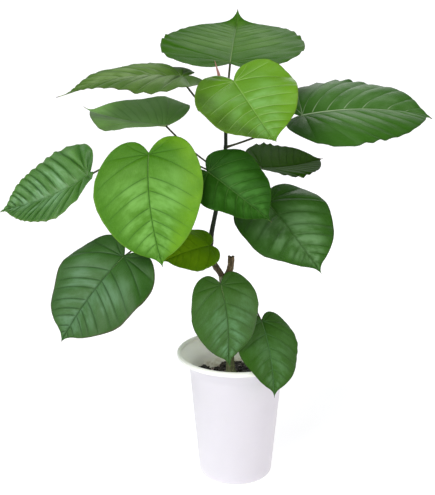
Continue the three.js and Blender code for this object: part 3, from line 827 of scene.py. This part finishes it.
def leaf_former():
    """Bends a flat blade into its place, gives it an underside, and grows its midrib and petiole."""
    tree, taken = new_tree(
        "leaf former", "GeometryNodeTree", {
            "Geometry": ["Blade"],
            "Float": ["Length", "Width", "Bend", "Fold", "Cup", "Wave", "Start left", "Start right", "Ripple",
                      "Tip lift", "Quilt", "Unrest", "Half thickness", "Petiole radius"],
            "Vector": ["Joint", "Turn", "Seat", "Arch", "Under joint"],
            "Material": ["Upper finish", "Under finish", "Petiole finish"]}, {"Geometry": ["Leaf"]})
    length, width, bend, fold, half, radius = [taken[label] for label in (
        "Length", "Width", "Bend", "Fold", "Half thickness", "Petiole radius")]
    flat = flow(tree, "GeometryNodeInputPosition")
    place = vector_step("ADD", flat, taken["Joint"])
    unrest = clouds(place, 34, 2) - 0.5
    lively = clouds(place, 22, 1).ramp(0.3, 0.68) * 1.5

    def stored(label, **settings):
        return flow(tree, "GeometryNodeInputNamedAttribute", {"Name": label}, "Attribute", **settings)

    def formed(x, y, around, lift):
        """Where a point of the flat blade comes to lie, lifted off the middle of the tissue."""
        across = x.size()
        curl = taken["Cup"] / (width / 2)
        on_right = x.over(0)
        start = taken["Start left"] * (1 - on_right) + taken["Start right"] * on_right
        outward = (across / width * 2) ** 2
        lean = fold - curl * across
        ripple = taken["Ripple"] * outward ** 3 * lively
        height = (lean.cos() - fold.cos()) / curl
        height += taken["Wave"] * outward * ((around * 3 + start) * math.tau).sin()
        height += ripple * ((around * 15 + start) * math.tau).sin()
        height += taken["Tip lift"] * ((y / length - TIP_START) / (1 - TIP_START)).most(0) ** 2
        height += lift
        turn = bend * y / length
        return combined(
            x.sign() * (fold.sin() - lean.sin()) / curl,
            turn.sin() * length / bend + height * turn.sin(),
            (turn.cos() - 1) * length / bend + height * turn.cos())

    def moved(geometry, place):
        return node(tree, "GeometryNodeSetPosition", {"Geometry": geometry, "Position": place})

    def marked(geometry, number):
        return node(tree, "GeometryNodeStoreNamedAttribute", {
            "Geometry": geometry, "Name": "tissue", "Value": number}, data_type="INT", domain="FACE")

    x, y, z = parts(flat)
    around, reach, vein, gap = [stored(label) for label in ("around", "reach", "vein", "gap")]
    between = vein.part()
    off_vein = between.least(1 - between) * gap
    swell = between * (1 - between) * (5.4 - between * 2.8) * gap.least(0.012) * taken["Quilt"]
    swell *= reach.ramp(0.0, 0.3) * (1 - reach.ramp(0.72, 1.0) * 0.5)
    swell += unrest * x.size().ramp(0.0, 0.02) * taken["Unrest"]
    closing = 1 - reach.ramp(0.965, 1.0)
    inner = 1 - reach * 0.75
    side_groove = (1 - off_vein.ramp(0.0, 0.0012)) * inner * 0.0004
    groove = side_groove.most((1 - x.size().ramp(0.0, 0.0018)) * 0.0007)
    ridge = (1 - off_vein.ramp(0.0, 0.0013)) * inner * 0.0006
    top = moved(taken["Blade"], formed(x, y, around, swell + (half - groove) * closing))
    under = moved(taken["Blade"], formed(x, y, around, swell - (half + ridge) * closing))
    flipped = node(tree, "GeometryNodeFlipFaces", {0: under})
    blade = node(tree, "GeometryNodeMergeByDistance", {
        "Geometry": joined(tree, marked(top, 0), marked(flipped, 1)), "Distance": 5e-6})

    section = node(tree, "GeometryNodeCurvePrimitiveCircle", {"Resolution": 14, "Radius": 1})

    def tube(curve, size):
        return node(tree, "GeometryNodeCurveToMesh", {
            "Curve": curve, "Profile Curve": section, "Scale": size, "Fill Caps": True})

    def rib_size(share):
        return radius * ((1 - share) ** 1.3 * 0.8 + 0.13)

    line = node(tree, "GeometryNodeMeshLine", {"Count": RIB_POINTS, "Offset": (0, 0, 0.001)})
    step = flow(tree, "GeometryNodeInputIndex") / (RIB_POINTS - 1)
    zero = step * 0
    rib_line = moved(line, formed(zero, step * length * 0.965, zero, (half + rib_size(step) * 0.75) * -1))
    share = flow(tree, "GeometryNodeSplineParameter", output="Factor")
    rib = tube(node(tree, "GeometryNodeMeshToCurve", {0: rib_line}), rib_size(share))
    placed = node(tree, "GeometryNodeTransform", {
        "Geometry": joined(tree, blade, marked(rib, 1)), "Translation": taken["Joint"],
        "Rotation": taken["Turn"]})

    middle = vector_step("ADD", taken["Seat"], taken["Under joint"])
    over = vector_step("ADD", vector_step("SCALE", middle, 0.5), taken["Arch"])
    bow = node(tree, "GeometryNodeCurveQuadraticBezier", {
        "Resolution": 56, "Start": taken["Seat"], "Middle": over, "End": taken["Under joint"]})
    swollen = 1 + (1 - share.ramp(0.0, 0.14)) * 0.38 + share.ramp(0.93, 1.0) * 0.16
    petiole = marked(tube(bow, radius * swollen), 2)

    real = node(tree, "GeometryNodeRealizeInstances", {0: joined(tree, placed, petiole)})
    leaf = node(tree, "GeometryNodeSetShadeSmooth", {"Geometry": real})
    tissue = stored("tissue", data_type="INT")
    for number, label in enumerate(("Upper finish", "Under finish", "Petiole finish")):
        same = node(tree, "FunctionNodeCompare", {2: tissue, 3: number}, data_type="INT", operation="EQUAL")
        leaf = node(tree, "GeometryNodeSetMaterial", {
            "Geometry": leaf, "Selection": same, "Material": taken[label]})
    node(tree, "NodeGroupOutput", {0: leaf})
    return tree


def leaf_pattern():
    """Shader group: veins, the fine net between them, zones of painted shade and painted sheen, clouds of
    tone, and their relief.
    """
    tree, taken = new_tree(
        "leaf pattern", "ShaderNodeTree",
        {"Vector": ["Place"], "Float": ["Vein width", "Net size", "Net depth"]},
        {"Float": ["Midrib", "Side veins", "Grooves", "Bands", "Net", "Outer", "Middle", "Clouds", "Edge",
                   "Relief"]})
    reach, vein, gap, signed, along = [
        attribute(tree, label) for label in ("reach", "vein", "gap", "across", "along")]
    across = signed.size()
    between = vein.part()
    off_vein = between.least(1 - between) * gap
    side_width = taken["Vein width"] * (1 - reach * 0.7)
    side_veins = (1 - off_vein.ramp(side_width * 0.4, side_width)) * (1 - reach.ramp(0.8, 0.97))
    rib_width = taken["Vein width"] * (1.3 - along * 0.8)
    midrib = (1 - across.ramp(rib_width * 0.45, rib_width)) * along.ramp(-0.02, 0.0)
    beside_rib = across.ramp(0.0, 0.004)
    # Painted shade: a dark band along each side vein and beside the midrib, where the sunken veins lie in
    # shade.
    side_dip_shade = (1 - off_vein.ramp(0.0, gap * 0.2 + 0.0006)) * beside_rib
    groove_shade = (side_dip_shade * reach.ramp(0.0, 0.2)).most(1 - across.ramp(0.0, 0.0036))
    # Painted sheen: the middle of the blade, away from the lobes, the margin and the tip.
    middle = along.ramp(-0.02, 0.42) * (1 - reach.ramp(0.5, 0.98)) * (1 - along.ramp(0.8, 1.0) * 0.6)
    place = taken["Place"]
    x, y, z = parts(place)
    panel = combined(vein * 1.15 + signed.sign() * 40, reach * 1.6, (x + z) * 6)
    warp = clouds(place, 120, 1) - 0.5
    ladder = combined(vein * 2.6 + warp * 0.5, reach * 26 + warp * 1.5)
    fine = vector_step("SCALE", place, 1 / taken["Net size"])

    def mesh_lines(spot, thick):
        """The walls of a net of cells, for the net of the smallest veins."""
        to_wall = flow(tree, "ShaderNodeTexVoronoi", {"Vector": spot, "Scale": 1}, "Distance",
                       feature="DISTANCE_TO_EDGE")
        return 1 - to_wall.ramp(0.0, thick)

    net = mesh_lines(ladder, 0.09).most(mesh_lines(fine, 0.12) * 0.5)
    relief = (net * -1 - side_veins.most(midrib) * 0.8) * taken["Net depth"]
    relief += clouds(place, 900, 2) * taken["Net depth"] * 0.7
    node(tree, "NodeGroupOutput", {
        "Midrib": midrib,
        "Side veins": side_veins * beside_rib,
        "Grooves": groove_shade * (1 - reach.ramp(0.9, 1.0)),
        "Bands": clouds(panel, 1, 3, 0.6).ramp(0.32, 0.68),
        "Net": net,
        # Painted shade: the outer zone towards the margin and the lobes by the notch.
        "Outer": (reach.ramp(0.4, 1.0) * 0.8).most(1 - along.ramp(-0.08, 0.3)),
        "Middle": middle,
        "Clouds": clouds(place, 34, 3),
        "Edge": reach.ramp(0.955, 0.99),
        "Relief": relief,
    })
    return tree


leaf_former_tree = leaf_former()
leaf_pattern_tree = leaf_pattern()


def leaf_coating(name, paints, gloss, shares, painted_halves=(), dry=0.03, **values):
    """A blade's finish. Its paints are the open face; the darker green of the dips and outer zone, which is
    painted shade there; the paler middle, which is painted sheen; the midrib, the side veins and the margin.
    Its shares say how strongly midrib and veins show, and how strongly the bands and the painted shade of the
    dips show. A painted half is a paint, the half of the blade that it is on, and where it starts and is full
    towards the margin: painted light on a lit half, painted shade on a shaded half. Dry is how much of the
    blade, from the tip, has dried brown."""
    rib_share, side_share, bands_and_groove_shade = shares
    face, deep_and_shade, middle, rib, side, edge = [srgb(*paint) for paint in paints]

    def blade_skin(place):
        tree = place.tree
        pattern = node(tree, "ShaderNodeGroup", node_tree=leaf_pattern_tree)
        sizes = {"Place": place, "Vein width": 0.0010, "Net size": 0.0021, "Net depth": 0.00012}
        for label, value in sizes.items():
            join(tree, value, pattern.inputs[label])
        shown = {socket.name: Flow(tree, socket) for socket in pattern.outputs}
        tone = shown["Clouds"].ramp(0.3, 0.7)
        # Painted shade: the outer zone and the lobes by the notch take the darker green.
        colour = tinted(shown["Outer"] * (0.55 + tone * 0.35), face, deep_and_shade)
        # Painted sheen: the paler middle paint stands in for the reflection of the bright walls, broken into
        # panels by the bands.
        colour = tinted(shown["Middle"] * (1 - shown["Bands"] * 0.75), colour, middle)
        colour = tinted(shown["Bands"] * bands_and_groove_shade * 0.7, colour, deep_and_shade)
        # Painted shade along the sunken veins.
        colour = tinted(shown["Grooves"] * bands_and_groove_shade * 0.8, colour, deep_and_shade)
        # Painted light on a lit half and painted shade on a shaded half of the blade, towards the margin.
        for paint, which, start, end in painted_halves:
            painted_half = (attribute(tree, "across") * which).ramp(-0.004, 0.022)
            outer = attribute(tree, "reach").ramp(start, end) * (1 - tone * 0.5) * painted_half
            colour = tinted(outer * 0.85, colour, srgb(*paint))
        colour = tinted(shown["Net"] * 0.12, colour, middle)
        vein_paint = tinted(attribute(tree, "reach").ramp(0.12, 0.45), rib, side)
        colour = tinted(shown["Side veins"] * side_share, colour, vein_paint)
        colour = tinted(shown["Midrib"] * rib_share, colour, rib)
        colour = tinted(shown["Edge"] * 0.6, colour, edge)
        uneven = attribute(tree, "along") + (shown["Clouds"] - 0.5) * 0.06
        colour = tinted(uneven.ramp(1 - dry, 1 - dry * 0.4) * 0.85, colour, srgb(84, 62, 44))
        return colour, shown["Clouds"] * 0.14 + shown["Net"] * 0.06 + (gloss - 0.07), shown["Relief"]

    return coating(name, blade_skin, **values)


def petiole_skin(place):
    colour = tinted(clouds(place, 260, 3), srgb(40, 46, 27), srgb(76, 76, 48))
    return colour, clouds(place, 300) * 0.15 + 0.42, clouds(place, 1600, 3) * 0.00015


under_finish = leaf_coating(
    "leaf underside",
    ((108, 142, 80), (92, 126, 64), (116, 148, 92), (166, 184, 118), (152, 172, 108), (110, 130, 66)),
    0.72, (0.75, 0.8, 0.5))
petiole_finish = coating("petiole skin", petiole_skin, Specular_IOR_Level=0.25)

# One row for each leaf: the height of its seat, its joint, the midrib's heading, pitch and roll,
# length, width and taper, bend, fold and cup in degrees, the margin's wave and its start on each side,
# the lift of the tip and the petiole's arch. Millimetres and degrees.
LEAVES = {
    "leaf_01_top": (
        602, (-10.5, 20, 646), (86, 16, 1), (226, 220, 1.2), (6, 7, 8), 1.5, (0.87, 0.38), 24, (0, -12, 4)),
    "leaf_02_upper_front": (
        570, (-5.5, -45, 623.5), (296, -30, 22), (142, 142, 1.25), (0, 15, 10), 5, (0.6, 0.8), 5,
        (0, -10, -6)),
    "leaf_03_upper_left": (
        561, (-82, 15, 625), (195, 6, -7), (185, 184, 3), (29, 11, 26), 2.5, (0.42, 0.15), 2, (0, 0, -18)),
    "leaf_04_left": (
        487, (-103, -25, 560), (146, -2, -12), (155, 150, 2.2), (-15, 26, 30), 3.5, (0.41, 0.92), 4,
        (0, 0, -10)),
    "leaf_05_far_left": (
        478, (-216, -35, 489), (161, -35, -39), (154, 146, 1.45), (-30, 26, 28), 1.5, (0.5, 0), -1,
        (0, 0, 62)),
    "leaf_06_front": (
        464, (-124, -90, 528), (267, -52, 18), (162, 162, 1.4), (54, 11, 16), 3, (0.5, 0), 3, (0, 0, 18)),
    "leaf_07_lower_left": (
        383, (-164, -80, 379), (220, -34, -22), (150, 151, 1.2), (30, 11, 30), 5.5, (0.9, 0.87), 0,
        (0, 16, 42)),
    "leaf_08_right": (
        524, (96, 10, 570), (2, 11, 22), (202, 198, 1.2), (28, 20, 45), 2.5, (0.9, 0.77), -2, (0, 0, -6)),
    "leaf_09_back_right": (
        508, (40, 70, 481), (36, -7, 18), (124, 116, 1.5), (-18, 20, 14), 2, (0.05, 0.65), 0, (0, 0, 16)),
    "leaf_10_centre": (
        493, (-42, -80, 502), (330, -29, 33), (116, 110, 1.5), (6, 22, 14), 5, (0.2, 0.5), 0, (0, 0, 14)),
    "leaf_11_lower_right": (
        434, (44, -30, 448), (305, -28, 17), (144, 142, 1.45), (14, 14, 22), 5, (0, 0), 0, (0, 0, 16)),
    "leaf_12_small": (
        340, (-41, -40, 385), (211, -2, -40), (76, 74, 1.5), (30, 9, 22), 2.5, (0.25, 0.75), 0, (0, -10, 0)),
    "leaf_13_low_front": (
        317, (-24, -88, 339), (303, -61, 4), (123, 111, 1.6), (48, 6, 19), 3, (0.2, 0.3), 13, (0, 0, 14)),
    "leaf_14_low_right": (
        303, (38, -34, 265), (291, -42, -15), (118, 111, 1.45), (28, 11, 26), 3, (0.1, 0.2), 0, (11, 0, 23)),
    "leaf_15_back_left": (
        448, (-88, 70, 440), (128, -16, 0), (150, 146, 1.4), (25, 10, 25), 4, (0.3, 0.6), 3, (0, 0, 20)),
    "leaf_16_low_back_right": (
        441, (41, 62, 428), (62, -20, 0), (138, 134, 1.4), (25, 10, 25), 4, (0.1, 0.8), 3, (0, 0, 18)),
    "leaf_17_upper_back": (
        548, (4, 50, 580), (100, 2, 0), (106, 102, 1.45), (20, 10, 20), 3, (0.5, 0.2), 2, (0, 0, 10)),
    "leaf_18_low_back_left": (
        379, (-146, 62, 374), (150, -20, 0), (122, 118, 1.45), (25, 10, 25), 3.5, (0.7, 0.4), 2, (0, 0, 16)),
}

# The finish of each leaf: its face, dips, middle, midrib, side veins and margin, where the dips paint is also
# painted shade in the dips and outer zone and the middle paint is painted sheen; its roughness and sheen; how
# strongly midrib, side veins and the painted shade of the dips show; how far it swells between veins, the
# pairs of veins along its midrib, and its margin's ripple in mm.
FINISHES = {
    "leaf_01_top": (
        ((62, 112, 16), (44, 92, 2), (82, 128, 40), (112, 142, 76), (44, 80, 22), (64, 98, 26)),
        0.55, 0.08, (0.5, 0.6, 0.3), 0.03, 10, 3.0),
    "leaf_02_upper_front": (
        ((96, 150, 4), (90, 142, 0), (122, 176, 84), (168, 206, 116), (168, 208, 118), (96, 128, 18)),
        0.40, 0.35, (0.4, 0.5, 0.6), 0.09, 8, 1.7),
    "leaf_03_upper_left": (
        ((96, 134, 46), (60, 100, 20), (124, 154, 92), (138, 160, 112), (146, 168, 116), (84, 98, 50)),
        0.50, 0.2, (0.5, 0.6, 0.7), 0.26, 9, 1.3),
    # Painted light: leaf_04's paints are lighter than the others' to lift it out of the shade under leaf_03.
    "leaf_04_left": (
        ((132, 178, 98), (112, 160, 78), (138, 182, 112), (112, 148, 88), (98, 140, 78), (90, 116, 62)),
        0.55, 0.2, (0.5, 0.25, 0.3), 0.02, 9, 0.4),
    "leaf_05_far_left": (
        ((86, 140, 26), (42, 100, 0), (130, 176, 128), (112, 148, 88), (40, 84, 18), (90, 122, 36)),
        0.36, 0.45, (0.4, 0.6, 0.8), 0.36, 12, 1.2),
    "leaf_06_front": (
        ((76, 130, 0), (58, 114, 4), (116, 172, 76), (46, 92, 14), (56, 104, 20), (98, 142, 34)),
        0.46, 0.2, (0.8, 0.65, 0.45), 0.05, 8, 0.4),
    "leaf_07_lower_left": (
        ((54, 104, 16), (30, 76, 0), (88, 130, 88), (36, 74, 26), (32, 70, 20), (72, 64, 46)),
        0.42, 0.35, (0.7, 0.8, 0.5), 0.08, 9, 0.5),
    # leaf_08's near-white midrib paint is partly the midrib's own pale colour and partly a painted highlight
    # along it.
    "leaf_08_right": (
        ((58, 110, 18), (38, 88, 2), (84, 126, 64), (204, 224, 184), (92, 128, 72), (46, 80, 24)),
        0.48, 0.2, (1.0, 0.35, 0.35), 0.13, 7, 2.7),
    "leaf_09_back_right": (
        ((52, 92, 8), (38, 76, 0), (58, 94, 24), (64, 88, 38), (58, 84, 32), (44, 40, 24)),
        0.62, 0.08, (0.3, 0.2, 0.3), 0.05, 9, 1.7),
    "leaf_10_centre": (
        ((38, 94, 0), (26, 72, 0), (64, 120, 40), (104, 146, 72), (76, 124, 46), (48, 92, 8)),
        0.46, 0.15, (0.4, 0.35, 0.55), 0.1, 8, 0.5),
    "leaf_11_lower_right": (
        ((52, 106, 0), (32, 76, 0), (100, 142, 88), (90, 130, 66), (70, 114, 44), (40, 66, 18)),
        0.42, 0.25, (0.3, 0.35, 0.6), 0.1, 7, 0.5),
    # Painted light: leaf_12 is painted a bright yellow-green for the light that shines through it from
    # behind.
    "leaf_12_small": (
        ((106, 152, 0), (82, 126, 0), (118, 160, 8), (96, 138, 8), (96, 138, 6), (104, 132, 30)),
        0.62, 0.1, (0.15, 0.25, 0.25), 0.03, 6, 0.7),
    "leaf_13_low_front": (
        ((54, 102, 0), (42, 86, 0), (92, 140, 90), (44, 84, 24), (62, 106, 42), (46, 82, 16)),
        0.42, 0.3, (0.6, 0.5, 0.6), 0.08, 7, 0.5),
    "leaf_14_low_right": (
        ((50, 98, 0), (40, 84, 0), (82, 126, 72), (86, 134, 88), (56, 100, 28), (44, 78, 8)),
        0.46, 0.2, (0.45, 0.35, 0.45), 0.06, 7, 0.5),
    "leaf_15_back_left": (
        ((52, 100, 20), (34, 80, 4), (74, 114, 60), (112, 146, 90), (84, 122, 64), (50, 80, 26)),
        0.46, 0.25, (0.5, 0.4, 0.5), 0.1, 9, 0.9),
    "leaf_16_low_back_right": (
        ((60, 106, 22), (40, 86, 6), (84, 122, 66), (120, 152, 96), (92, 130, 70), (54, 84, 28)),
        0.46, 0.25, (0.5, 0.4, 0.5), 0.1, 9, 0.9),
    "leaf_17_upper_back": (
        ((70, 116, 22), (48, 94, 6), (94, 134, 66), (128, 160, 96), (100, 138, 70), (72, 104, 34)),
        0.46, 0.25, (0.5, 0.4, 0.5), 0.09, 8, 0.8),
    "leaf_18_low_back_left": (
        ((50, 98, 26), (32, 78, 4), (74, 114, 66), (104, 140, 86), (80, 118, 62), (54, 76, 32)),
        0.44, 0.25, (0.5, 0.4, 0.5), 0.1, 8, 0.9),
}

# The young leaves; painted light and painted shade on one half of a blade, 1 for the half on the midrib's
# right: on leaf_02 painted shade on one half and painted light on the other, on leaf_04 painted shade over
# the near half, on leaf_06 painted light along the lit half's margin; how far the side veins sweep towards
# the tip; and how much of a blade has dried from its tip.
YOUNG = ("leaf_02_upper_front", "leaf_06_front")
PAINTED_HALVES = {
    "leaf_02_upper_front": (((56, 92, 0), 1, 0.35, 0.8), ((104, 156, 0), -1, 0.4, 0.85)),
    "leaf_04_left": (((82, 116, 56), -1, -0.6, 0.1),),
    "leaf_06_front": (((108, 160, 14), -1, 0.45, 0.95),),
}
SWEPT = {"leaf_03_upper_left": 1.1, "leaf_04_left": 1.7, "leaf_08_right": 1.45}
DRY = {
    "leaf_03_upper_left": 0.07, "leaf_04_left": 0.045, "leaf_09_back_right": 0.1,
    "leaf_13_low_front": 0.004, "leaf_14_low_right": 0.01,
}
PLAIN_SWEEP = 0.85
PLAIN_DRY = 0.025
FORK_HEIGHT = 327

for number, (name, row) in enumerate(LEAVES.items()):
    seat, joint, turns, (length, width, taper), bends, wave, starts, tip, arch = row
    paints, gloss, specular, shares, quilt, pairs, ripple = FINISHES[name]
    heading, pitch, roll = [math.radians(turn) for turn in turns]
    bend, fold, cup = [math.radians(turn) for turn in bends]
    radius = PETIOLE_RADIUS + PETIOLE_RADIUS_SHARE * length
    spin = (Matrix.Rotation(heading - math.pi / 2, 4, "Z") @ Matrix.Rotation(pitch, 4, "X")
            @ Matrix.Rotation(roll, 4, "Y"))
    under_joint = Vector(joint) + spin @ Vector((0, 0, -HALF_THICKNESS - JOINT_SINK * radius))
    carrier = TRUNK_PATH if seat < FORK_HEIGHT else STEM_PATH
    seat_place = [float(np.interp(seat, carrier[:, 2], carrier[:, i])) for i in range(3)]
    blade = flat_net(name, length * MM, width * MM, taper, SWEPT.get(name, PLAIN_SWEEP), pairs,
                     FIRST_SEED + number)
    upper_finish = leaf_coating(
        name + " face", paints, gloss, shares, PAINTED_HALVES.get(name, ()), DRY.get(name, PLAIN_DRY),
        Specular_IOR_Level=specular)
    leaf = dress(
        new_piece(name + "_grown", blade), leaf_former_tree,
        Length=length * MM, Width=width * MM, Bend=bend + LEAST_BEND, Fold=fold, Cup=cup, Wave=wave * MM,
        Start_left=float(starts[0]), Start_right=float(starts[1]), Ripple=ripple * MM, Tip_lift=tip * MM,
        Quilt=quilt, Unrest=UNREST_SHARE * length * MM, Half_thickness=HALF_THICKNESS * MM,
        Petiole_radius=radius * MM, Joint=Vector(joint) * MM, Turn=Vector(spin.to_euler("XYZ")),
        Seat=Vector(seat_place) * MM, Arch=Vector(arch) * MM, Under_joint=under_joint * MM,
        Upper_finish=upper_finish, Under_finish=under_finish, Petiole_finish=petiole_finish)
    lay(leaf, "young_leaf" if name in YOUNG else "mature_leaf", name)
